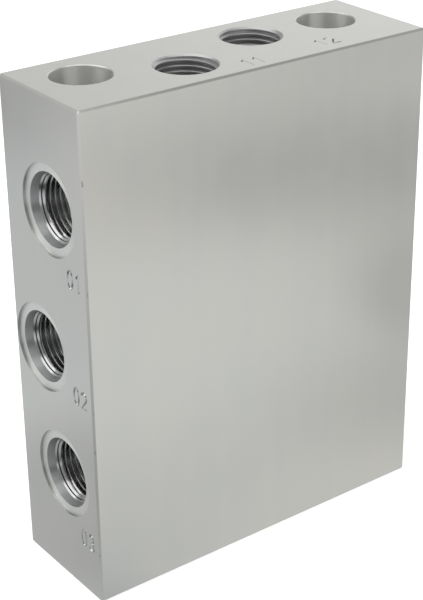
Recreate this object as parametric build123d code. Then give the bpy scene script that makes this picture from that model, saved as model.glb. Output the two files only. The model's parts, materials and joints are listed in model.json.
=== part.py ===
"""Hydraulic manifold block: one machined piece of aluminium, in millimetres.

The frame has its origin in the middle of the bottom face, with +Z up. The end face at -X
carries three threaded ports, and the top face carries two threaded ports and two plain bores.
The feature that takes the most skill is the port form: a spotface, a 15 degree seal cone, the
chamfered thread bore, and the drillings that join each end port to its ports in the top face.
"""
from build123d import *
from math import radians, tan
import os

# The block.
LENGTH = 133.35
DEPTH = 44.45
HEIGHT = 168.3
EDGE_CHAMFER = 0.95

# Port in the end face: 7/8-14 UNF with an O-ring seat.
END_SPOTFACE_DIAMETER = 29.7
END_SPOTFACE_DEPTH = 0.85
END_CONE_TOP_DIAMETER = 23.8
END_CONE_DEPTH = 2.6
END_CONE_HALF_ANGLE = 15.0
END_MINOR_DIAMETER = 20.3
END_THREAD_BOTTOM = 20.0
END_PASSAGE_DIAMETER = 13.0

# Port in the top face: G 1/2 with a plain 45 degree chamfer.
TOP_CHAMFER_DIAMETER = 21.0
TOP_MINOR_DIAMETER = 18.63
TOP_THREAD_BOTTOM = 18.0

# Plain bore in the top face, reamed to a flat step.
PLAIN_BORE_DIAMETER = 19.5
PLAIN_BORE_DEPTH = 19.0
PLAIN_BORE_CHAMFER = 0.3

DROP_DIAMETER = 11.0
DRILL_POINT_ANGLE = 118.0

# End ports: (sideways offset, height of the axis).
END_PORTS = {
    "upper": (-2.8, 132.0),
    "middle": (6.4, 82.3),
    "lower": (-2.7, 39.9),
}

# Holes in the top face: (distance from the end face, sideways offset).
TOP_PORTS = {
    "near": (49.2, -5.6),
    "far": (83.1, 5.8),
}
PLAIN_BORES = {
    "near": (18.65, 5.5),
    "far": (113.8, 4.9),
}

# Drops from the top holes: (distance from the end face, sideways offset, end port that it meets).
# The first one is off its bore's axis, to come down clear of the end port's full thread.
DROPS = [
    (22.8, 5.5, "upper"),
    (49.2, -5.6, "upper"),
    (83.1, 5.8, "middle"),
    (113.8, 4.9, "lower"),
]

# How far a drilling runs past the axis of the one that it meets.
DRILL_OVERRUN = 5.0


def point_height(diameter):
    """Height of the cone that a drill of this diameter leaves at the bottom of its hole."""
    return diameter / 2 / tan(radians(DRILL_POINT_ANGLE / 2))


def turned_cut(profile):
    """Solid of revolution about Z, from (radius, height) points that start and end on the axis."""
    outline = [(radius, 0, height) for radius, height in profile]
    return revolve(make_face(Polyline(*outline, close=True)), axis=Axis.Z)


def drilling(diameter, depth):
    """A drilled hole down from the origin: depth to the shoulder, then the drill point."""
    radius = diameter / 2
    tip = -depth - point_height(diameter)
    return turned_cut([(0, 0), (radius, 0), (radius, -depth), (0, tip)])


def end_port_cut():
    """Spotface, seal cone, thread chamfer and thread bore, down from the origin."""
    spot = END_SPOTFACE_DIAMETER / 2
    cone_top = END_CONE_TOP_DIAMETER / 2
    cone_end = END_SPOTFACE_DEPTH + END_CONE_DEPTH
    cone_bottom = cone_top - END_CONE_DEPTH * tan(radians(END_CONE_HALF_ANGLE))
    minor = END_MINOR_DIAMETER / 2
    chamfer_end = cone_end + (cone_bottom - minor)
    return turned_cut([
        (0, 1),
        (spot, 1),
        (spot, -END_SPOTFACE_DEPTH),
        (cone_top, -END_SPOTFACE_DEPTH),
        (cone_bottom, -cone_end),
        (minor, -chamfer_end),
        (minor, -END_THREAD_BOTTOM),
        (0, -END_THREAD_BOTTOM - point_height(END_MINOR_DIAMETER)),
    ])


def chamfered_bore_cut(mouth_diameter, diameter, depth):
    """A blind hole with a 45 degree chamfer at its mouth and a drill point below."""
    mouth = mouth_diameter / 2
    radius = diameter / 2
    return turned_cut([
        (0, 1),
        (mouth, 1),
        (mouth, 0),
        (radius, -(mouth - radius)),
        (radius, -depth),
        (0, -depth - point_height(diameter)),
    ])


def plain_bore_cut():
    """A reamed bore with a flat bottom and a broken edge at its mouth."""
    radius = PLAIN_BORE_DIAMETER / 2
    mouth = radius + PLAIN_BORE_CHAMFER
    return turned_cut([
        (0, 1),
        (mouth, 1),
        (mouth, 0),
        (radius, -PLAIN_BORE_CHAMFER),
        (radius, -PLAIN_BORE_DEPTH),
        (0, -PLAIN_BORE_DEPTH),
    ])


def end_place(name):
    """Location on the end face that turns a cut made down -Z to run along +X."""
    offset, height = END_PORTS[name]
    return Location((-LENGTH / 2, offset, height), (0, -90, 0))


def top_place(distance, offset):
    """Location on the top face, at this distance from the end face."""
    return Location((distance - LENGTH / 2, offset, HEIGHT))


def end_passages():
    """One long drilling behind each end port, as far as the last drop that it serves."""
    reach = {target: distance for distance, _, target in DROPS}
    return [
        end_place(name) * drilling(END_PASSAGE_DIAMETER, distance + DRILL_OVERRUN)
        for name, distance in reach.items()
    ]


def drops():
    """The drillings that lead from the top holes down to the end ports' passages."""
    cuts = []
    for distance, offset, target in DROPS:
        depth = HEIGHT - END_PORTS[target][1] + DRILL_OVERRUN
        cuts.append(top_place(distance, offset) * drilling(DROP_DIAMETER, depth))
    return cuts


def block_body():
    """The sawn and milled block, with every outer edge broken."""
    body = Box(LENGTH, DEPTH, HEIGHT, align=(Align.CENTER, Align.CENTER, Align.MIN))
    return chamfer(body.edges(), EDGE_CHAMFER)


def manifold_block():
    """The block with all its ports, bores and drillings."""
    block = block_body()
    for name in END_PORTS:
        block -= end_place(name) * end_port_cut()
    for distance, offset in TOP_PORTS.values():
        port = chamfered_bore_cut(TOP_CHAMFER_DIAMETER, TOP_MINOR_DIAMETER, TOP_THREAD_BOTTOM)
        block -= top_place(distance, offset) * port
    for distance, offset in PLAIN_BORES.values():
        block -= top_place(distance, offset) * plain_bore_cut()
    for cut in end_passages() + drops():
        block -= cut
    return block


os.makedirs("parts", exist_ok=True)
block = manifold_block()
export_step(block, "parts/manifold_block.step")
print("solids", len(block.solids()), "volume", round(block.volume, 1))
print("valid", block.is_valid)
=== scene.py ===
"""Looks of a hydraulic manifold block: one piece of satin aluminium with threaded ports.

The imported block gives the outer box, and its mounts give the place and the wall of every port.
The whole skin is made again here, so that the ports have real threads, the edges are chamfered,
and the port numbers are punched into the metal.
"""

import json
from math import ceil, cos, pi, radians, sin, tan

import bmesh
import bpy
from bpy.props import FloatProperty, FloatVectorProperty, IntProperty, PointerProperty
from mathutils import Matrix, Vector


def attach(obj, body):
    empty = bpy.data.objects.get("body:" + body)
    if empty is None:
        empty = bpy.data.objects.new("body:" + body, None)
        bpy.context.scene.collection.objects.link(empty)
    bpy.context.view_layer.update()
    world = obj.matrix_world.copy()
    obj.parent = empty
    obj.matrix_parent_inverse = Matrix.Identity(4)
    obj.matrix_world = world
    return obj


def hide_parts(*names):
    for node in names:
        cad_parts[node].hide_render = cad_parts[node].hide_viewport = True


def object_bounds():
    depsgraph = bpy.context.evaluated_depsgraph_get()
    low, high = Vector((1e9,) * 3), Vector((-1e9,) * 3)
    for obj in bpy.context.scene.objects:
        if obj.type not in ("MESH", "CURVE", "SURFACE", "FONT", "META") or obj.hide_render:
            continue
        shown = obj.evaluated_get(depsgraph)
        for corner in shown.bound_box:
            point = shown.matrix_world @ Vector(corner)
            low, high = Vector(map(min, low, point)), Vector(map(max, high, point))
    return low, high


bl_info = {
    "name": "Hydraulic manifold block",
    "version": (1, 0, 0),
    "blender": (4, 5, 0),
    "location": "View3D > Sidebar > Manifold",
    "description": "Builds the skin, threads, port numbers and studio of a drilled manifold block",
    "category": "Object",
}

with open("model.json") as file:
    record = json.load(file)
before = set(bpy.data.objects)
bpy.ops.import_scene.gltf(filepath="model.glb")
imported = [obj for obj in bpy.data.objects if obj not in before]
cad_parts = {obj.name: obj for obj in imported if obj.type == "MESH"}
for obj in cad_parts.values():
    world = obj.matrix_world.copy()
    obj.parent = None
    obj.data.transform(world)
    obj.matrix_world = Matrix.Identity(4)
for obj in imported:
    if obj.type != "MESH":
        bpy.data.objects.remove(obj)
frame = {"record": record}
CAD_LOW, CAD_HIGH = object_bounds()

MM = 0.001
NODE = "manifold_block"
BODY = "root"
MOUNTS = {mount["name"]: mount for mount in frame["record"]["mounts"]}
END_PORTS = [name for name in MOUNTS if name.startswith("end_port")]
TOP_PORTS = [name for name in MOUNTS if name.startswith("top_port")]
PLAIN_BORES = [name for name in MOUNTS if name.startswith("plain_bore")]

# Points closer than this are one point.
WELD = 0.001 * MM
# How far a tool body stands out of the face that it cuts.
OVERSHOOT = 1.0 * MM
# How far a drilling's tool body starts inside the bore that it leads from.
START_INSIDE = 1.0 * MM

# One pitch of a 60 degree thread, from the middle of one groove to just before the next:
# (how far along the pitch, how deep in the groove, where 1 is its root and 0 is the crest).
THREAD_FORM = [
    (0, 1),
    (0.076, 1),
    (0.39, 0.062),
    (0.42, 0.019),
    (0.45, 0),
    (0.55, 0),
    (0.58, 0.019),
    (0.61, 0.062),
    (0.924, 1),
]
# Depth of a thread as a share of its pitch.
THREAD_DEPTH = 0.58
# How far along its pitch each thread starts.
THREAD_PHASES = {
    "end_port_upper": 0.63,
    "end_port_middle": 0.92,
    "end_port_lower": 0.57,
    "top_port_near": 0.3,
    "top_port_far": 0.6,
}

# Edges that turn by more than this many degrees stay sharp.
SHARP_ANGLE = 17
# Roughness of a cleanly tapped wall, and of one that the tap has torn a little.
TAPPED_ROUGHNESS = 0.2
TORN_ROUGHNESS = 0.4

# Port numbers: what is punched, and where its middle is on the face, in millimetres.
END_NUMBERS = [("01", (-15.3, 113.1)), ("02", (-15.3, 73.2)), ("03", (-15.3, 20.7))]
TOP_NUMBERS = [("11", (0.5, -15.8)), ("12", (31.3, -13.8))]

# Nicks on the front upright edge: how many, the seed of their places, and the stretch of the
# block's height that they lie on.
NICK_COUNT = 9
NICK_SEED = 4
NICK_STRETCH = (0.12, 0.96)
# Depth and scatter of the nicks as shares of their size, and how far in from the corner their
# line lies as a share of the chamfer.
NICK_DEPTH = 0.25
NICK_SCATTER = 3
NICK_INSET = 0.3

# The camera: place in millimetres, direction in degrees, lens in millimetres.
CAMERA_PLACE = (-283.1, -378.3, 313.0)
CAMERA_AZIMUTH = -37.41
CAMERA_ELEVATION = 25.97
CAMERA_ROLL = 0.225
CAMERA_LENS = 93.86
CAMERA_SHIFT = (-0.0433, -0.0076)

# Softboxes: name, azimuth and elevation in degrees, distance and width in metres, watts.
SOFT_LIGHTS = [
    ("right key", 2, 44, 1.2, 1.1, 5.5),
    ("left key", -112, 40, 1.2, 1.1, 5),
    ("top key", -62, 64, 1.2, 0.7, 2),
    ("back key", -148, 34, 1.2, 0.7, 0.5),
]
# Level of the room's light on matt surfaces.
AMBIENT = 0.7
# What metal sees of the room, where 1 is white: its dark side's level, and where it is white.
DARK_SIDE = 0.35
WHITE_SIDE = (0.9, 0.3, -0.3)
# How far a direction leans to the white side where the dark side ends, and where white starts.
ROOM_FADE = (0.12, 0.72)
# What metal sees of the paper, and how much whiter the paper looks to the eye.
PAPER_IN_METAL = 1.0
PAPER_GLOW = 0.38
TABLE_HALF_WIDTH = 1.5
# Painted reflection: where the cool tint that only the metal sees on the paper is full, in
# millimetres; it has gone at the middle.
COOL_PAPER = -150

# Painted reflections: dim shapes on the paper that only the metal shows. They stand for shade on the
# table (the block's own shadow along its base, and where the lamps' light falls off) and for darker
# things beside it. Each has its middle and half size in millimetres, turn in degrees, softness of
# the rim, and how much dimmer the middle is.
PAINTED_REFLECTION_SHAPES = [
    ((298, -266), (220, 84), 24, 0.6, 0.39),
    ((184, -146), (56, 22), -42, 0.5, 0.26),
    ((575, -450), (255, 95), 0, 0.35, 0.3),
    ((40, -45), (230, 55), 0, 0.8, 0.12),
    ((230, -110), (120, 80), 0, 0.7, 0.1),
    ((115, -65), (55, 34), 0, 0.7, 0.1),
    ((-300, 300), (300, 330), 0, 0.5, 0.18),
    ((-310, 490), (130, 50), -62, 0.6, 0.35),
    ((-95, 30), (55, 55), 0, 0.6, 0.25),
    ((-300, -30), (170, 45), 0, 0.35, 0.8),
    ((-1000, 60), (650, 150), 0, 0.3, 0.7),
    ((-240, -155), (180, 60), 37.5, 0.5, 0.3),
]


# ---------------------------------------------------------------- settings


def linear(hex_colour):
    """RGBA in linear light, from an sRGB hex colour such as "B8BABA"."""
    channels = [int(hex_colour[i:i + 2], 16) / 255 for i in (0, 2, 4)]
    return [c / 12.92 if c <= 0.04045 else ((c + 0.055) / 1.055) ** 2.4 for c in channels] + [1]


def metal_colour(name, description, hex_colour):
    """A colour setting with its default given as sRGB."""
    return FloatVectorProperty(
        name=name,
        description=description,
        default=linear(hex_colour),
        size=4,
        min=0,
        max=1,
        subtype="COLOR",
    )


class BlockSizes(bpy.types.PropertyGroup):
    """Outer edges and drillings of the block."""

    chamfer: FloatProperty(
        name="Edge chamfer",
        description="Width of the chamfer along every outer edge, measured on a face",
        default=0.65 * MM,
        unit="LENGTH",
    )
    passage_diameter: FloatProperty(
        name="Passage diameter",
        description="Diameter of the long drilling behind each end port",
        default=13.0 * MM,
        unit="LENGTH",
    )
    drop_diameter: FloatProperty(
        name="Drop diameter",
        description="Diameter of the drillings that lead down from the top face",
        default=11.0 * MM,
        unit="LENGTH",
    )
    overrun: FloatProperty(
        name="Overrun",
        description="How far a drilling runs past the axis of the one that it meets",
        default=5.0 * MM,
        unit="LENGTH",
    )
    drop_shift: FloatProperty(
        name="Drop shift",
        description="How far the drop below the near plain bore lies off the bore's axis",
        default=4.15 * MM,
        unit="LENGTH",
    )


class PortSizes(bpy.types.PropertyGroup):
    """Form of the threaded ports and the plain bores."""

    pitch: FloatProperty(
        name="Thread pitch",
        description="Distance from one thread crest to the next",
        default=1.814 * MM,
        unit="LENGTH",
    )
    run_out: FloatProperty(
        name="Thread run-out",
        description="Depth over which the tap's grooves fade at the bottom of the thread",
        default=2.5 * MM,
        unit="LENGTH",
    )
    segments: IntProperty(
        name="Segments",
        description="Sides of every round hole",
        default=96,
        min=24,
    )
    spotface_diameter: FloatProperty(
        name="Spotface diameter",
        description="Diameter of the flat cut round each end port",
        default=29.7 * MM,
        unit="LENGTH",
    )
    spotface_depth: FloatProperty(
        name="Spotface depth",
        description="Depth of the flat cut round each end port",
        default=0.85 * MM,
        unit="LENGTH",
    )
    cone_diameter: FloatProperty(
        name="Seal cone diameter",
        description="Diameter of the seal cone at the spotface",
        default=23.8 * MM,
        unit="LENGTH",
    )
    cone_depth: FloatProperty(
        name="Seal cone depth",
        description="Depth of the seal cone below the spotface",
        default=2.6 * MM,
        unit="LENGTH",
    )
    cone_half_angle: FloatProperty(
        name="Seal cone half angle",
        description="Angle between the seal cone and the port's axis",
        default=radians(15),
        subtype="ANGLE",
    )
    top_mouth_diameter: FloatProperty(
        name="Top port mouth",
        description="Diameter of the lead-in chamfer at the top face",
        default=21.0 * MM,
        unit="LENGTH",
    )
    ring_width: FloatProperty(
        name="Ring width",
        description="Width of each small chamfer between a mouth and its thread",
        default=0.5 * MM,
        unit="LENGTH",
    )
    ring_gap: FloatProperty(
        name="Ring gap",
        description="Height of the plain wall between the two small chamfers of an end port",
        default=0.5 * MM,
        unit="LENGTH",
    )
    mouth_break: FloatProperty(
        name="Mouth edge break",
        description="Width of the small chamfer at the mouth of a plain bore",
        default=0.3 * MM,
        unit="LENGTH",
    )


class MetalColours(bpy.types.PropertyGroup):
    """Colours of the aluminium, by the tool that left the surface."""

    skin_cool: metal_colour("Skin, cool", "Milled skin in the duller clouds", "C3C5C1")
    skin_warm: metal_colour("Skin, warm", "Milled skin in the brighter clouds", "C9C8C3")
    turned: metal_colour("Turned", "Spotfaces and plain bores", "DFE0DC")
    seat: metal_colour("Seat", "Seal cones of the end ports", "B0B2B1")
    tapped: metal_colour("Tapped", "Threads, drillings and punched marks", "BABBBA")


class MarkSizes(bpy.types.PropertyGroup):
    """Punched port numbers and handling marks."""

    digit_height: FloatProperty(
        name="Digit height",
        description="Height of a punched digit",
        default=5.8 * MM,
        unit="LENGTH",
    )
    digit_width: FloatProperty(
        name="Digit width",
        description="Width of a punched digit",
        default=3.2 * MM,
        unit="LENGTH",
    )
    digit_gap: FloatProperty(
        name="Digit gap",
        description="Clear space between two digits",
        default=1.1 * MM,
        unit="LENGTH",
    )
    stroke_width: FloatProperty(
        name="Stroke width",
        description="Width of a punched stroke at the surface",
        default=0.9 * MM,
        unit="LENGTH",
    )
    nick_size: FloatProperty(
        name="Nick size",
        description="Typical length of a nick on the front upright edge",
        default=1.1 * MM,
        unit="LENGTH",
    )


# ---------------------------------------------------------------- helpers


def add_node(tree, kind, inputs=None, **settings):
    """Add a node, set its properties, and set or link its inputs by name or number."""
    made = tree.nodes.new(kind)
    for key, value in settings.items():
        setattr(made, key, value)
    for key, value in (inputs or {}).items():
        if isinstance(value, bpy.types.NodeSocket):
            tree.links.new(value, made.inputs[key])
        else:
            made.inputs[key].default_value = value
    return made


def new_object(name, data):
    """Link a new object for this mesh or curve to the scene."""
    made = bpy.data.objects.new(name, data)
    bpy.context.scene.collection.objects.link(made)
    return made


def discard(*objects):
    """Remove helper objects that aren't part of the model."""
    for item in objects:
        bpy.data.objects.remove(item, do_unlink=True)


def plain_mesh(item):
    """The evaluated shape of an object as a mesh of its own, with no modifiers."""
    bpy.context.view_layer.update()
    depsgraph = bpy.context.evaluated_depsgraph_get()
    return bpy.data.meshes.new_from_object(item.evaluated_get(depsgraph), depsgraph=depsgraph)


def run_tree(name, data, tree, values):
    """The plain mesh that a Geometry Nodes tree makes of this mesh or curve."""
    carrier = new_object(name, data)
    modifier = carrier.modifiers.new(tree.name, "NODES")
    modifier.node_group = tree
    for socket in tree.interface.items_tree:
        if socket.in_out == "INPUT" and socket.name in values:
            modifier[socket.identifier] = values[socket.name]
    mesh = plain_mesh(carrier)
    mesh.name = name
    discard(carrier)
    return mesh


def add_sums(tree, value, sums):
    """Add a chain of sums to a tree: each is a name, an operation, and operands by name or value."""
    for name, operation, *operands in sums:
        inputs = {i: value.get(operand, operand) for i, operand in enumerate(operands)}
        value[name] = add_node(tree, "ShaderNodeMath", inputs, operation=operation).outputs[0]


def new_tree(name, inputs):
    """Start a Geometry Nodes tree with a geometry output and these named inputs."""
    tree = bpy.data.node_groups.new(name, "GeometryNodeTree")
    tree.interface.new_socket("Geometry", in_out="INPUT", socket_type="NodeSocketGeometry")
    for label, kind in inputs.items():
        tree.interface.new_socket(label, in_out="INPUT", socket_type=kind)
    tree.interface.new_socket("Geometry", in_out="OUTPUT", socket_type="NodeSocketGeometry")
    return tree, tree.nodes.new("NodeGroupInput").outputs


def end_tree(tree, geometry, material):
    """Close a tree with Realize Instances, Set Material and the group output."""
    real = add_node(tree, "GeometryNodeRealizeInstances", {"Geometry": geometry})
    painted = add_node(
        tree, "GeometryNodeSetMaterial", {"Geometry": real.outputs[0], "Material": material}
    )
    add_node(tree, "NodeGroupOutput", {0: painted.outputs[0]})


# ---------------------------------------------------------------- threads


def thread_tree():
    """A tapped wall: rows of points that follow the helix, pushed out where the tap has cut.

    A row's depth grows by one pitch in a turn clockwise, seen from outside the hole, which makes
    the thread right-handed. Rows are clamped to the lead-in and to the bottom of the wall, so
    the tube starts and ends in a plain ring. Each point is the deeper of the groove and the
    turned wall, so the first grooves start on the lead-in as they do behind a real tap. No point
    lies outside a 45 degree cone that opens from that first ring.
    """
    tree, given = new_tree(
        "Thread",
        {
            "Pitch": "NodeSocketFloat",
            "Minor Radius": "NodeSocketFloat",
            "Major Radius": "NodeSocketFloat",
            "Lead-in Radius": "NodeSocketFloat",
            "Lead-in Depth": "NodeSocketFloat",
            "Bottom Depth": "NodeSocketFloat",
            "Run-out": "NodeSocketFloat",
            "Turns": "NodeSocketInt",
            "Phase": "NodeSocketFloat",
            "Segments": "NodeSocketInt",
            "Material": "NodeSocketMaterial",
        },
    )

    rows_in_form = len(THREAD_FORM)
    value = {"Index": add_node(tree, "GeometryNodeInputIndex").outputs[0]}
    value.update({socket.name: socket for socket in given if socket.name})
    add_sums(
        tree,
        value,
        [
            ("columns", "ADD", "Segments", 1),
            ("rows", "MULTIPLY_ADD", "Turns", rows_in_form, 1),
            ("row and rest", "DIVIDE", "Index", "columns"),
            ("row", "FLOOR", "row and rest"),
            ("column", "MODULO", "Index", "columns"),
            ("turn and rest", "DIVIDE", "row", rows_in_form),
            ("turn", "FLOOR", "turn and rest"),
            ("step", "MODULO", "row", rows_in_form),
        ],
    )
    for part, label in enumerate(("along", "cut")):
        switch = add_node(tree, "GeometryNodeIndexSwitch", data_type="FLOAT")
        tree.links.new(value["step"], switch.inputs["Index"])
        while len(switch.index_switch_items) < rows_in_form:
            switch.index_switch_items.new()
        for number, point in enumerate(THREAD_FORM):
            switch.inputs[number + 1].default_value = point[part]
        value[label] = switch.outputs[0]
    add_sums(
        tree,
        value,
        [
            # Depth along the helix, clamped to the tapped stretch.
            ("part turn", "DIVIDE", "column", "Segments"),
            ("rows along", "ADD", "turn", "along"),
            ("first row", "SUBTRACT", "Phase", 1),
            ("pitches", "ADD", "rows along", "first row"),
            ("pitches here", "SUBTRACT", "pitches", "part turn"),
            ("free depth", "MULTIPLY_ADD", "pitches here", "Pitch", "Lead-in Depth"),
            ("below lead-in", "MAXIMUM", "free depth", "Lead-in Depth"),
            ("depth", "MINIMUM", "below lead-in", "Bottom Depth"),
            # Radius that the tap leaves, fading out at the bottom.
            ("left to bottom", "SUBTRACT", "Bottom Depth", "depth"),
            ("fade", "DIVIDE", "left to bottom", "Run-out"),
            ("strength", "MINIMUM", "fade", 1),
            ("groove", "MULTIPLY", "cut", "strength"),
            ("height", "SUBTRACT", "Major Radius", "Minor Radius"),
            ("tapped", "MULTIPLY_ADD", "groove", "height", "Minor Radius"),
            # Radius that the turning tool had left before the tap: a 45 degree lead-in.
            ("down", "SUBTRACT", "depth", "Lead-in Depth"),
            ("lead-in", "SUBTRACT", "Lead-in Radius", "down"),
            ("turned", "MAXIMUM", "lead-in", "Minor Radius"),
            ("deeper", "MAXIMUM", "tapped", "turned"),
            # The grooves open out from the first ring, which stays plain.
            ("opening", "ADD", "Lead-in Radius", "down"),
            ("radius", "MINIMUM", "deeper", "opening"),
            ("angle", "MULTIPLY", "part turn", 2 * pi),
            ("cosine", "COSINE", "angle"),
            ("sine", "SINE", "angle"),
            ("x", "MULTIPLY", "radius", "cosine"),
            ("y", "MULTIPLY", "radius", "sine"),
            ("z", "MULTIPLY", "depth", -1),
        ],
    )
    grid = add_node(
        tree,
        "GeometryNodeMeshGrid",
        {"Size X": 1, "Size Y": 1, "Vertices X": value["rows"], "Vertices Y": value["columns"]},
    )
    place = add_node(
        tree, "ShaderNodeCombineXYZ", {"X": value["x"], "Y": value["y"], "Z": value["z"]}
    )
    bent = add_node(
        tree,
        "GeometryNodeSetPosition",
        {"Geometry": grid.outputs[0], "Position": place.outputs[0]},
    )
    welded = add_node(
        tree, "GeometryNodeMergeByDistance", {"Geometry": bent.outputs[0], "Distance": WELD}
    )
    end_tree(tree, welded.outputs[0], given["Material"])
    return tree


def thread_wall(tree, lead_in, minor_radius, bottom, phase, metal):
    """A plain mesh of one tapped wall, from its lead-in (radius, depth) to its bottom."""
    port = bpy.context.scene.port_sizes
    lead_radius, lead_depth = lead_in
    return run_tree(
        "thread",
        bpy.data.meshes.new("thread"),
        tree,
        {
            "Pitch": port.pitch,
            "Minor Radius": minor_radius,
            "Major Radius": minor_radius + THREAD_DEPTH * port.pitch,
            "Lead-in Radius": lead_radius,
            "Lead-in Depth": lead_depth,
            "Bottom Depth": bottom,
            "Run-out": port.run_out,
            "Turns": ceil((bottom - lead_depth) / port.pitch) + 2,
            "Phase": phase,
            "Segments": port.segments,
            "Material": metal,
        },
    )


# ---------------------------------------------------------------- ports and drillings


def face_place(mount):
    """Frame of a mount's mouth: X and Y lie in the face, Z points out of it."""
    out = Vector(mount["axis"])
    across = Vector((0, 1, 0)) if abs(out.x) > 0.5 else Vector((1, 0, 0))
    mouth = Vector(mount["pos_m"])
    if out.x < -0.5:
        mouth.x = CAD_LOW.x
    else:
        mouth.z = CAD_HIGH.z
    turn = Matrix((across, out.cross(across), out)).transposed().to_4x4()
    return Matrix.Translation(mouth) @ turn


def wall_depths(mount):
    """Depth below the mouth at which a mount's wall starts and ends."""
    middle = (face_place(mount).inverted() @ Vector(mount["pos_m"])).z
    half = mount["dims"]["length_mm"] * MM / 2
    return -middle - half, -middle + half


def drill_tip(radius):
    """Height of the point that a 118 degree drill leaves."""
    return radius / tan(radians(59))


def turned_faces(work, profile, segments, slot):
    """Add a turned skin to a bmesh, from (radius, depth) points about the Z axis."""
    rings = []
    for radius, depth in profile:
        if radius == 0:
            rings.append([work.verts.new((0, 0, -depth))] * (segments + 1))
            continue
        ring = [
            work.verts.new((radius * cos(turn), radius * sin(turn), -depth))
            for turn in (2 * pi * i / segments for i in range(segments))
        ]
        rings.append(ring + ring[:1])
    for upper, lower in zip(rings, rings[1:]):
        for i in range(segments):
            corners = [upper[i], lower[i], lower[i + 1], upper[i + 1]]
            work.faces.new(list(dict.fromkeys(corners))).material_index = slot


def closed_cutter(name, parts, segments, place, wall=None):
    """A closed tool body from turned profiles, each with its metal, and a ready-made wall."""
    work = bmesh.new()
    mesh = bpy.data.meshes.new(name)
    if wall:
        work.from_mesh(wall)
        mesh.materials.append(wall.materials[0])
    for profile, metal in parts:
        if metal.name not in mesh.materials:
            mesh.materials.append(metal)
        turned_faces(work, profile, segments, mesh.materials.find(metal.name))
    bmesh.ops.remove_doubles(work, verts=work.verts, dist=WELD)
    bmesh.ops.recalc_face_normals(work, faces=work.faces)
    work.transform(place)
    work.to_mesh(mesh)
    work.free()
    return new_object(name, mesh)


def end_port_cutter(name, tree, turned, reamed, tapped):
    """Spotface, seal cone, lead-in and thread of one port in the end face."""
    port = bpy.context.scene.port_sizes
    mount = MOUNTS[name]
    minor = mount["dims"]["r_mm"] * MM
    bottom = wall_depths(mount)[1]
    spot = port.spotface_diameter / 2
    floor = port.spotface_depth
    cone = port.cone_diameter / 2
    slope = tan(port.cone_half_angle)
    ring = port.ring_width
    foot = (cone - port.cone_depth * slope, floor + port.cone_depth)
    step = (foot[0] - ring, foot[1] + ring)
    lead_in = (step[0] - ring, step[1] + port.ring_gap + ring)
    rim = [(0, -OVERSHOOT), (spot, -OVERSHOOT), (spot, floor)]
    spotface = [(spot, floor), (cone, floor)]
    seat = [(cone, floor), foot]
    rings = [foot, step, (step[0], step[1] + port.ring_gap), lead_in]
    below = [(minor, bottom), (0, bottom + drill_tip(minor))]
    wall = thread_wall(tree, lead_in, minor, bottom, THREAD_PHASES[name], tapped)
    parts = [(rim, tapped), (spotface, turned), (seat, reamed), (rings, tapped), (below, tapped)]
    return closed_cutter(name, parts, port.segments, face_place(mount), wall)


def top_port_cutter(name, tree, tapped):
    """Lead-in chamfer and thread of one port in the top face."""
    port = bpy.context.scene.port_sizes
    mount = MOUNTS[name]
    minor = mount["dims"]["r_mm"] * MM
    bottom = wall_depths(mount)[1]
    mouth = port.top_mouth_diameter / 2
    ring = port.ring_width
    lead_in = (mouth - ring, ring)
    above = [(0, -OVERSHOOT), (mouth + OVERSHOOT, -OVERSHOOT), lead_in]
    below = [(minor, bottom), (0, bottom + drill_tip(minor))]
    wall = thread_wall(tree, lead_in, minor, bottom, THREAD_PHASES[name], tapped)
    parts = [(above, tapped), (below, tapped)]
    return closed_cutter(name, parts, port.segments, face_place(mount), wall)


def plain_bore_cutter(name, metal):
    """A smooth blind bore with a flat bottom and a broken edge at its mouth."""
    port = bpy.context.scene.port_sizes
    mount = MOUNTS[name]
    radius = mount["dims"]["r_mm"] * MM
    bottom = wall_depths(mount)[1]
    small = port.mouth_break
    profile = [
        (0, -OVERSHOOT),
        (radius + small + OVERSHOOT, -OVERSHOOT),
        (radius, small),
        (radius, bottom),
        (0, bottom),
    ]
    return closed_cutter(name, [(profile, metal)], port.segments, face_place(mount))


def drilling_cutter(name, mount, radius, start, depth, metal, shift=0):
    """A drilling on a mount's axis, from inside its bore down to depth, with a drill point."""
    segments = bpy.context.scene.port_sizes.segments // 2
    profile = [(0, start), (radius, start), (radius, depth), (0, depth + drill_tip(radius))]
    place = face_place(mount) @ Matrix.Translation((shift, 0, 0))
    return closed_cutter(name, [(profile, metal)], segments, place)


def passage_cutters(metal):
    """The long drillings behind the end ports, and the drops that come down to meet them."""
    sizes = bpy.context.scene.block_sizes
    drops = [
        ("plain_bore_near", "end_port_upper", sizes.drop_shift),
        ("top_port_near", "end_port_upper", 0),
        ("top_port_far", "end_port_middle", 0),
        ("plain_bore_far", "end_port_lower", 0),
    ]
    reach = {}
    downs = []
    for top, end, shift in drops:
        fall = CAD_HIGH.z - MOUNTS[end]["pos_m"][2] + sizes.overrun
        start = wall_depths(MOUNTS[top])[1] - START_INSIDE
        radius = sizes.drop_diameter / 2
        downs.append(drilling_cutter(f"drop_{top}", MOUNTS[top], radius, start, fall, metal, shift))
        reach[end] = MOUNTS[top]["pos_m"][0] - CAD_LOW.x + sizes.overrun
    acrosses = []
    for end, depth in reach.items():
        start = wall_depths(MOUNTS[end])[1] - START_INSIDE
        radius = sizes.passage_diameter / 2
        acrosses.append(drilling_cutter(f"passage_{end}", MOUNTS[end], radius, start, depth, metal))
    return acrosses, downs


# ---------------------------------------------------------------- punched marks


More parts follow.
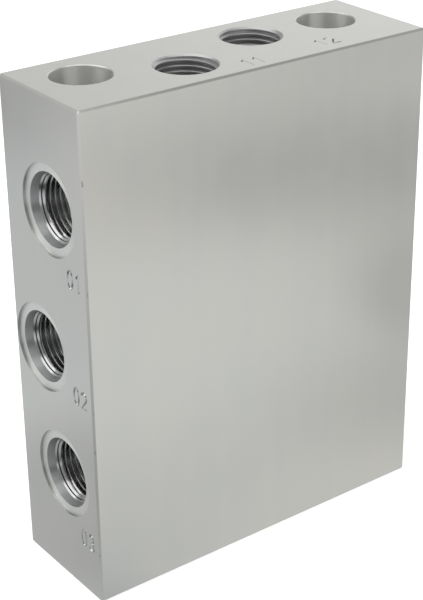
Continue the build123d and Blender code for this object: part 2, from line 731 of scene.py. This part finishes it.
def digit_strokes(digit):
    """Strokes of a punched digit as lists of points, in a box one unit wide and high."""

    def arc(centre, size, start, end, points=14):
        """Points along an ellipse, between two angles in degrees."""
        turns = [radians(start + (end - start) * i / (points - 1)) for i in range(points)]
        return [(centre[0] + size[0] * cos(t), centre[1] + size[1] * sin(t)) for t in turns]

    return {
        "0": [arc((0.5, 0.5), (0.42, 0.5), 90, 446, 25)],
        "1": [[(0.2, 0.78), (0.58, 1), (0.58, 0)]],
        "2": [arc((0.5, 0.72), (0.44, 0.28), 165, -30) + [(0.05, 0), (0.98, 0)]],
        "3": [
            arc((0.48, 0.75), (0.4, 0.25), 150, -75),
            arc((0.48, 0.26), (0.44, 0.26), 75, -150),
        ],
    }[digit]


def stroke_tree():
    """A punch's chisel edge drawn along strokes: a bar of square section, standing on a corner."""
    tree, given = new_tree(
        "Punch strokes", {"Half Width": "NodeSocketFloat", "Material": "NodeSocketMaterial"}
    )
    edge = add_node(
        tree, "GeometryNodeCurvePrimitiveCircle", {"Resolution": 4, "Radius": given["Half Width"]}
    )
    bar = add_node(
        tree,
        "GeometryNodeCurveToMesh",
        {"Curve": given["Geometry"], "Profile Curve": edge.outputs[0], "Fill Caps": True},
    )
    end_tree(tree, bar.outputs[0], given["Material"])
    return tree


def number_cutter(tree, text, place, metal):
    """Tool body that punches a number, centred on a face."""
    marks = bpy.context.scene.mark_sizes
    step = marks.digit_width + marks.digit_gap
    left = -(len(text) * step - marks.digit_gap) / 2
    curve = bpy.data.curves.new(f"number_{text}", "CURVE")
    curve.dimensions = "3D"
    for position, digit in enumerate(text):
        for stroke in digit_strokes(digit):
            spline = curve.splines.new("POLY")
            spline.points.add(len(stroke) - 1)
            for point, (x, y) in zip(spline.points, stroke):
                across = left + position * step + x * marks.digit_width
                point.co = (across, (y - 0.5) * marks.digit_height, 0, 1)
    values = {"Half Width": marks.stroke_width / 2, "Material": metal}
    mesh = run_tree(curve.name, curve, tree, values)
    mesh.transform(place)
    return new_object(mesh.name, mesh)


def nick_tree():
    """Small dents along a straight edge: flattened balls of uneven size at uneven places."""
    tree, given = new_tree(
        "Edge nicks",
        {
            "Start": "NodeSocketVector",
            "End": "NodeSocketVector",
            "Count": "NodeSocketInt",
            "Length": "NodeSocketFloat",
            "Depth": "NodeSocketFloat",
            "Scatter": "NodeSocketFloat",
            "Seed": "NodeSocketInt",
            "Material": "NodeSocketMaterial",
        },
    )
    line = add_node(
        tree,
        "GeometryNodeMeshLine",
        {"Count": given["Count"], "Start Location": given["Start"], "Offset": given["End"]},
        mode="END_POINTS",
    )
    shift = add_node(
        tree,
        "FunctionNodeRandomValue",
        {"Min": (-0.12, -0.12, -1), "Max": (0.12, 0.12, 1), "Seed": given["Seed"]},
        data_type="FLOAT_VECTOR",
    )
    moved = add_node(
        tree,
        "ShaderNodeVectorMath",
        {0: shift.outputs[0], "Scale": given["Scatter"]},
        operation="SCALE",
    )
    spread = add_node(
        tree, "GeometryNodeSetPosition", {"Geometry": line.outputs[0], "Offset": moved.outputs[0]}
    )
    ball = add_node(tree, "GeometryNodeMeshIcoSphere", {"Radius": 1, "Subdivisions": 3})
    shape = add_node(
        tree,
        "ShaderNodeCombineXYZ",
        {"X": given["Depth"], "Y": given["Depth"], "Z": given["Length"]},
    )
    uneven = add_node(
        tree,
        "FunctionNodeRandomValue",
        {"Min": (0.6, 0.6, 0.3), "Max": (1, 1, 1), "Seed": given["Seed"]},
        data_type="FLOAT_VECTOR",
    )
    scale = add_node(
        tree,
        "ShaderNodeVectorMath",
        {0: shape.outputs[0], 1: uneven.outputs[0]},
        operation="MULTIPLY",
    )
    dents = add_node(
        tree,
        "GeometryNodeInstanceOnPoints",
        {"Points": spread.outputs[0], "Instance": ball.outputs[0], "Scale": scale.outputs[0]},
    )
    end_tree(tree, dents.outputs[0], given["Material"])
    return tree


def nick_cutter(metal):
    """Dents along the upright edge between the end face and the front face."""
    marks = bpy.context.scene.mark_sizes
    inset = bpy.context.scene.block_sizes.chamfer * NICK_INSET
    low, high = (CAD_HIGH.z * share for share in NICK_STRETCH)
    corner = Vector((CAD_LOW.x + inset, CAD_LOW.y + inset, 0))
    mesh = run_tree(
        "nicks",
        bpy.data.meshes.new("nicks"),
        nick_tree(),
        {
            "Start": corner + Vector((0, 0, low)),
            "End": corner + Vector((0, 0, high)),
            "Count": NICK_COUNT,
            "Length": marks.nick_size,
            "Depth": marks.nick_size * NICK_DEPTH,
            "Scatter": marks.nick_size * NICK_SCATTER,
            "Seed": NICK_SEED,
            "Material": metal,
        },
    )
    return new_object("nicks", mesh)


# ---------------------------------------------------------------- block


def block_blank(skin):
    """The milled block before any drilling, with its edges chamfered."""
    sizes = bpy.context.scene.block_sizes
    size = CAD_HIGH - CAD_LOW
    work = bmesh.new()
    bmesh.ops.create_cube(work, size=1)
    bmesh.ops.scale(work, vec=size, verts=work.verts)
    bmesh.ops.translate(work, vec=(CAD_LOW + CAD_HIGH) / 2, verts=work.verts)
    bmesh.ops.bevel(work, geom=work.edges[:], offset=sizes.chamfer, segments=1, affect="EDGES")
    bmesh.ops.recalc_face_normals(work, faces=work.faces)
    mesh = bpy.data.meshes.new(NODE)
    work.to_mesh(mesh)
    work.free()
    mesh.materials.append(skin)
    return new_object("block_skin", mesh)


def cut(block, tools, solver):
    """Cut these tool bodies out of the block, and discard them."""
    for tool in tools:
        modifier = block.modifiers.new(tool.name, "BOOLEAN")
        modifier.operation = "DIFFERENCE"
        modifier.solver = solver
        modifier.object = tool
        if solver == "EXACT":
            modifier.use_self = True
            modifier.material_mode = "TRANSFER"
    mesh = plain_mesh(block)
    block.modifiers.clear()
    block.data = mesh
    discard(*tools)


def unroll_cut_faces(mesh):
    """A UV map for the bored surfaces: turns round the nearest port's axis, and travel of the tool.

    The travel is depth less radius, which grows steadily down a wall and across a floor alike.
    """
    places = [face_place(MOUNTS[name]).inverted() for name in END_PORTS + TOP_PORTS + PLAIN_BORES]
    layer = mesh.uv_layers.new(name="turning").data
    for face in mesh.polygons:
        if face.material_index == 0:
            continue
        centres = [place @ face.center for place in places]
        nearest = min(range(len(places)), key=lambda i: centres[i].xy.length)
        for loop in face.loop_indices:
            point = places[nearest] @ mesh.vertices[mesh.loops[loop].vertex_index].co
            turn = 0.5 + point.xy.angle_signed(Vector((1, 0)), 0) / (2 * pi)
            layer[loop].uv = (turn, (-point.z - point.xy.length) / MM)


def smooth_shade(mesh):
    """Smooth shading, with sharp edges kept wherever the surface turns a corner."""
    for face in mesh.polygons:
        face.use_smooth = True
    mesh.set_sharp_from_angle(angle=radians(SHARP_ANGLE))


# ---------------------------------------------------------------- materials


def satin_aluminium():
    """Milled aluminium plate, tumbled to an even satin.

    The eye sees a pale grey metal that blurs whatever it mirrors into broad soft bands, with a
    faint upright grain left by the cutter and a slight cloudiness from handling.
    """
    colours = bpy.context.scene.metal_colours
    metal = bpy.data.materials.new("satin_milled_aluminium")
    metal.use_nodes = True
    tree = metal.node_tree
    shader = tree.nodes["Principled BSDF"]
    shader.inputs["Metallic"].default_value = 1
    where = add_node(tree, "ShaderNodeTexCoord").outputs["Object"]

    # Cutter grain: lines about 0.35 mm apart that run up the block.
    stretched = add_node(
        tree, "ShaderNodeMapping", {"Vector": where, "Scale": (1, 1, 0.03)}
    ).outputs[0]
    grain = add_node(
        tree,
        "ShaderNodeTexNoise",
        {"Vector": stretched, "Scale": 1 / (0.7 * MM), "Detail": 3, "Roughness": 0.6},
    ).outputs["Fac"]
    # Tumbling: a fine even tooth, about 0.4 mm from grain to grain.
    tooth = add_node(
        tree,
        "ShaderNodeTexNoise",
        {"Vector": where, "Scale": 1 / (0.8 * MM), "Detail": 2, "Roughness": 0.5},
    ).outputs["Fac"]
    # Clouds: patches 20 to 40 mm wide where handling has dulled or polished the skin.
    cloud = add_node(
        tree,
        "ShaderNodeTexNoise",
        {"Vector": where, "Scale": 1 / (45 * MM), "Detail": 5, "Roughness": 0.6},
    ).outputs["Fac"]
    # Streaks: broader tool marks, 3 to 6 mm apart, that run up the block too.
    drawn = add_node(
        tree, "ShaderNodeMapping", {"Vector": where, "Scale": (1, 1, 0.05)}
    ).outputs[0]
    streak = add_node(
        tree,
        "ShaderNodeTexNoise",
        {"Vector": drawn, "Scale": 1 / (6 * MM), "Detail": 4, "Roughness": 0.6},
    ).outputs["Fac"]
    wear = add_node(
        tree, "ShaderNodeMix", {"Factor": 0.35, 2: cloud, 3: streak}, data_type="FLOAT"
    ).outputs[0]

    colour = add_node(tree, "ShaderNodeValToRGB", {"Fac": wear})
    colour.color_ramp.elements[0].position = 0.35
    colour.color_ramp.elements[0].color = colours.skin_cool
    colour.color_ramp.elements[1].position = 0.65
    colour.color_ramp.elements[1].color = colours.skin_warm
    tree.links.new(colour.outputs[0], shader.inputs["Base Color"])

    rough = add_node(
        tree,
        "ShaderNodeMapRange",
        {"Value": cloud, "From Min": 0.3, "From Max": 0.7, "To Min": 0.19, "To Max": 0.23},
    )
    tree.links.new(rough.outputs[0], shader.inputs["Roughness"])

    lines = add_node(
        tree, "ShaderNodeBump", {"Height": grain, "Strength": 0.12, "Distance": 0.02 * MM}
    )
    bumps = add_node(
        tree,
        "ShaderNodeBump",
        {"Height": tooth, "Strength": 0.1, "Distance": 0.02 * MM, "Normal": lines.outputs[0]},
    )
    tree.links.new(bumps.outputs[0], shader.inputs["Normal"])
    return metal


def turned_aluminium(name, colour):
    """Aluminium fresh from a turning or reaming tool, on spotfaces, seal cones and plain bores.

    The tool's feed has left rings too fine to see. They spread a reflection across themselves,
    so a bore shows soft stripes along its axis, and a spotface shines evenly all round.
    """
    metal = bpy.data.materials.new(name)
    metal.use_nodes = True
    tree = metal.node_tree
    shader = tree.nodes["Principled BSDF"]
    shader.inputs["Metallic"].default_value = 1
    shader.inputs["Roughness"].default_value = 0.45
    shader.inputs["Base Color"].default_value = colour
    shader.inputs["Anisotropic"].default_value = 0.75
    shader.inputs["Anisotropic Rotation"].default_value = 0.25
    tangent = add_node(tree, "ShaderNodeTangent", direction_type="UV_MAP", uv_map="turning")
    tree.links.new(tangent.outputs[0], shader.inputs["Tangent"])
    return metal


def tapped_aluminium(name, roughness):
    """Aluminium cut by a tap: bright edges and dark grooves.

    Where it is smooth, the threads mirror the dim room, and only the crests and the lead-in
    catch the light. Where the tap has torn the metal a little, the grooves are a milder grey.
    """
    metal = bpy.data.materials.new(name)
    metal.use_nodes = True
    tree = metal.node_tree
    shader = tree.nodes["Principled BSDF"]
    shader.inputs["Metallic"].default_value = 1
    shader.inputs["Roughness"].default_value = roughness
    shader.inputs["Base Color"].default_value = bpy.context.scene.metal_colours.tapped
    unrolled = add_node(tree, "ShaderNodeUVMap", uv_map="turning").outputs[0]

    # Feed rings 0.3 mm apart.
    rings = add_node(
        tree,
        "ShaderNodeTexWave",
        {"Vector": unrolled, "Scale": 0.5, "Distortion": 0.4, "Detail": 1},
        bands_direction="Y",
    )
    bumps = add_node(
        tree,
        "ShaderNodeBump",
        {"Height": rings.outputs["Fac"], "Strength": 0.1, "Distance": 0.01 * MM},
    )
    tree.links.new(bumps.outputs[0], shader.inputs["Normal"])
    return metal


def white_paper():
    """White table paper: white to the eye, with the block's soft shadow kept.

    The metal sees the same paper with painted reflections on it. Dim shapes stand for shade on the
    table round the block and for darker things beside it, and the left part has a cooler tint.
    """
    paper = bpy.data.materials.new("white_paper")
    paper.use_nodes = True
    tree = paper.node_tree
    matt = tree.nodes["Principled BSDF"]
    matt.inputs["Base Color"].default_value = linear("F4F4F4")
    matt.inputs["Roughness"].default_value = 0.9
    ray = add_node(tree, "ShaderNodeLightPath")
    where = add_node(tree, "ShaderNodeTexCoord").outputs["Object"]

    level = PAPER_IN_METAL
    # Painted reflections: each shape lowers the glow that only the metal sees of the paper.
    for middle, half_size, turn, softness, dimness in PAINTED_REFLECTION_SHAPES:
        local = add_node(
            tree,
            "ShaderNodeMapping",
            {
                "Vector": where,
                "Location": Vector((*middle, 0)) * MM,
                "Rotation": (0, 0, radians(turn)),
                "Scale": (half_size[0] * MM, half_size[1] * MM, 1),
            },
            vector_type="TEXTURE",
        )
        away = add_node(
            tree, "ShaderNodeVectorMath", {0: local.outputs[0]}, operation="LENGTH"
        ).outputs["Value"]
        dim = add_node(
            tree,
            "ShaderNodeMapRange",
            {
                "Value": away,
                "From Min": 1 - softness,
                "From Max": 1 + softness,
                "To Min": dimness,
                "To Max": 0,
            },
            interpolation_type="SMOOTHSTEP",
        )
        level = add_node(
            tree, "ShaderNodeMath", {0: level, 1: dim.outputs[0]}, operation="SUBTRACT"
        ).outputs[0]

    glow = add_node(tree, "ShaderNodeEmission", {"Strength": PAPER_GLOW})
    lit = add_node(tree, "ShaderNodeAddShader", {0: matt.outputs[0], 1: glow.outputs[0]})
    # Painted reflection: the left part of the paper is a trace cooler, and only the metal shows it.
    place = add_node(tree, "ShaderNodeSeparateXYZ", {"Vector": where}).outputs["X"]
    warmth = add_node(
        tree, "ShaderNodeMapRange", {"Value": place, "From Min": COOL_PAPER * MM, "From Max": 0}
    ).outputs[0]
    tint = add_node(
        tree,
        "ShaderNodeMix",
        {"Factor": warmth, 6: linear("FAFCFF"), 7: linear("FFFFFF")},
        data_type="RGBA",
    ).outputs[2]
    # Painted reflections: this glow, with its dim shapes and cool tint, reaches glossy rays only.
    mirrored = add_node(tree, "ShaderNodeEmission", {"Color": tint, "Strength": level})
    seen = add_node(
        tree,
        "ShaderNodeMixShader",
        {0: ray.outputs["Is Camera Ray"], 1: matt.outputs[0], 2: lit.outputs[0]},
    )
    both = add_node(
        tree,
        "ShaderNodeMixShader",
        {0: ray.outputs["Is Glossy Ray"], 1: seen.outputs[0], 2: mirrored.outputs[0]},
    )
    tree.links.new(both.outputs[0], tree.nodes["Material Output"].inputs["Surface"])
    return paper


def studio_world():
    """The room: a white backdrop behind the block, and a dimmer room behind the camera."""
    world = bpy.data.worlds.new("studio")
    world.use_nodes = True
    tree = world.node_tree
    ray = add_node(tree, "ShaderNodeLightPath")
    heading = add_node(tree, "ShaderNodeTexCoord").outputs["Generated"]
    whiteness = add_node(
        tree, "ShaderNodeVectorMath", {0: heading, 1: WHITE_SIDE}, operation="DOT_PRODUCT"
    ).outputs["Value"]
    room = add_node(
        tree,
        "ShaderNodeMapRange",
        {
            "Value": whiteness,
            "From Min": ROOM_FADE[0],
            "From Max": ROOM_FADE[1],
            "To Min": DARK_SIDE,
            "To Max": 1,
        },
    ).outputs[0]
    mirrored = add_node(
        tree,
        "ShaderNodeMix",
        {"Factor": ray.outputs["Is Glossy Ray"], 2: AMBIENT, 3: room},
        data_type="FLOAT",
    ).outputs[0]
    level = add_node(
        tree,
        "ShaderNodeMath",
        {0: mirrored, 1: ray.outputs["Is Camera Ray"]},
        operation="MAXIMUM",
    ).outputs[0]
    back = tree.nodes["Background"]
    back.inputs["Color"].default_value = linear("FFFFFF")
    tree.links.new(level, back.inputs["Strength"])
    return world


# ---------------------------------------------------------------- studio


def aim(item, target):
    """Turn a lamp or camera so that it looks at a point."""
    item.rotation_mode = "QUATERNION"
    item.rotation_quaternion = (target - item.location).to_track_quat("-Z", "Y")


def around(azimuth, elevation, distance):
    """A point round the block's middle: azimuth 0 is in front of it, and 90 is off its +X end."""
    turn, rise = radians(azimuth), radians(elevation)
    away = Vector((sin(turn) * cos(rise), -cos(turn) * cos(rise), sin(rise)))
    return (CAD_LOW + CAD_HIGH) / 2 + away * distance


def soft_light(name, azimuth, elevation, distance, size, power):
    """A square softbox aimed at the block's middle."""
    lamp = bpy.data.lights.new(name, "AREA")
    lamp.shape = "SQUARE"
    lamp.size = size
    lamp.energy = power
    item = new_object(name, lamp)
    item.location = around(azimuth, elevation, distance)
    aim(item, (CAD_LOW + CAD_HIGH) / 2)


def studio_camera():
    """A short telephoto lens on a stand, a little above the block and off its port end."""
    lens = bpy.data.cameras.new("camera")
    lens.lens = CAMERA_LENS
    lens.shift_x, lens.shift_y = CAMERA_SHIFT
    lens.clip_start, lens.clip_end = 0.01, 20
    item = new_object("camera", lens)
    item.location = Vector(CAMERA_PLACE) * MM
    item.rotation_mode = "QUATERNION"
    turn, rise = radians(CAMERA_AZIMUTH), radians(CAMERA_ELEVATION)
    ahead = -Vector((sin(turn) * cos(rise), -cos(turn) * cos(rise), sin(rise)))
    roll = Matrix.Rotation(radians(CAMERA_ROLL), 3, ahead).to_quaternion()
    item.rotation_quaternion = roll @ ahead.to_track_quat("-Z", "Y")
    return item


# ---------------------------------------------------------------- operators


class MANIFOLD_OT_block(bpy.types.Operator):
    """Make the block with its ports, threads, drillings, numbers and nicks"""

    bl_idname = "manifold.block"
    bl_label = "Block"

    def execute(self, context):
        """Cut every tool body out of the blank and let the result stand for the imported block."""
        skin = satin_aluminium()
        turned = turned_aluminium("turned_aluminium", context.scene.metal_colours.turned)
        reamed = turned_aluminium("form_cut_aluminium", context.scene.metal_colours.seat)
        tapped = tapped_aluminium("tapped_aluminium", TAPPED_ROUGHNESS)
        torn = tapped_aluminium("torn_tapped_aluminium", TORN_ROUGHNESS)
        block = block_blank(skin)
        for metal in (turned, reamed, tapped, torn):
            block.data.materials.append(metal)

        end_face = Matrix(((0, 0, -1, CAD_LOW.x), (-1, 0, 0, 0), (0, 1, 0, 0), (0, 0, 0, 1)))
        top_face = Matrix.Translation((0, 0, CAD_HIGH.z))
        strokes = stroke_tree()
        numbers = []
        for text, (across, up) in END_NUMBERS:
            place = Matrix.Translation(Vector((0, across, up)) * MM) @ end_face
            numbers.append(number_cutter(strokes, text, place, tapped))
        for text, (along, across) in TOP_NUMBERS:
            place = Matrix.Translation(Vector((along, across, 0)) * MM) @ top_face
            numbers.append(number_cutter(strokes, text, place, tapped))
        cut(block, numbers + [nick_cutter(tapped)], "EXACT")

        thread = thread_tree()
        ports = [end_port_cutter(name, thread, turned, reamed, tapped) for name in END_PORTS]
        ports += [top_port_cutter(name, thread, torn) for name in TOP_PORTS]
        ports += [plain_bore_cutter(name, turned) for name in PLAIN_BORES]
        acrosses, downs = passage_cutters(tapped)
        cut(block, ports + acrosses + downs, "MANIFOLD")

        unroll_cut_faces(block.data)
        smooth_shade(block.data)
        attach(block, BODY)
        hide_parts(NODE)
        return {"FINISHED"}


class MANIFOLD_OT_stage(bpy.types.Operator):
    """Make the white table, the soft lights and the camera"""

    bl_idname = "manifold.stage"
    bl_label = "Stage"

    def execute(self, context):
        """Set up a plain studio round the block."""
        scene = context.scene
        scene.view_settings.view_transform = "Standard"

        work = bmesh.new()
        bmesh.ops.create_grid(work, x_segments=1, y_segments=1, size=TABLE_HALF_WIDTH)
        mesh = bpy.data.meshes.new("table")
        work.to_mesh(mesh)
        work.free()
        mesh.materials.append(white_paper())
        new_object("table", mesh)

        scene.world = studio_world()
        for name, azimuth, elevation, distance, size, power in SOFT_LIGHTS:
            soft_light(name, azimuth, elevation, distance, size, power)
        scene.camera = studio_camera()
        return {"FINISHED"}


class MANIFOLD_PT_panel(bpy.types.Panel):
    """Buttons for the block and its stage"""

    bl_idname = "MANIFOLD_PT_panel"
    bl_label = "Manifold block"
    bl_space_type = "VIEW_3D"
    bl_region_type = "UI"
    bl_category = "Manifold"

    def draw(self, context):
        """List the sizes, and one button for each step."""
        for group in (getattr(context.scene, name) for name in GROUPS):
            box = self.layout.box()
            for name in group.bl_rna.properties.keys():
                if name not in ("name", "rna_type"):
                    box.prop(group, name)
        self.layout.operator(MANIFOLD_OT_block.bl_idname)
        self.layout.operator(MANIFOLD_OT_stage.bl_idname)


GROUPS = {
    "block_sizes": BlockSizes,
    "port_sizes": PortSizes,
    "mark_sizes": MarkSizes,
    "metal_colours": MetalColours,
}
CLASSES = (*GROUPS.values(), MANIFOLD_OT_block, MANIFOLD_OT_stage, MANIFOLD_PT_panel)


def register():
    """Register the classes, and keep the settings on the scene."""
    for kind in CLASSES:
        bpy.utils.register_class(kind)
    for name, group in GROUPS.items():
        setattr(bpy.types.Scene, name, PointerProperty(type=group))


def unregister():
    """Undo register."""
    for name in GROUPS:
        delattr(bpy.types.Scene, name)
    for kind in reversed(CLASSES):
        bpy.utils.unregister_class(kind)


def main():
    """Build everything."""
    register()
    bpy.ops.manifold.block()
    bpy.ops.manifold.stage()


if __name__ == "__main__":
    main()
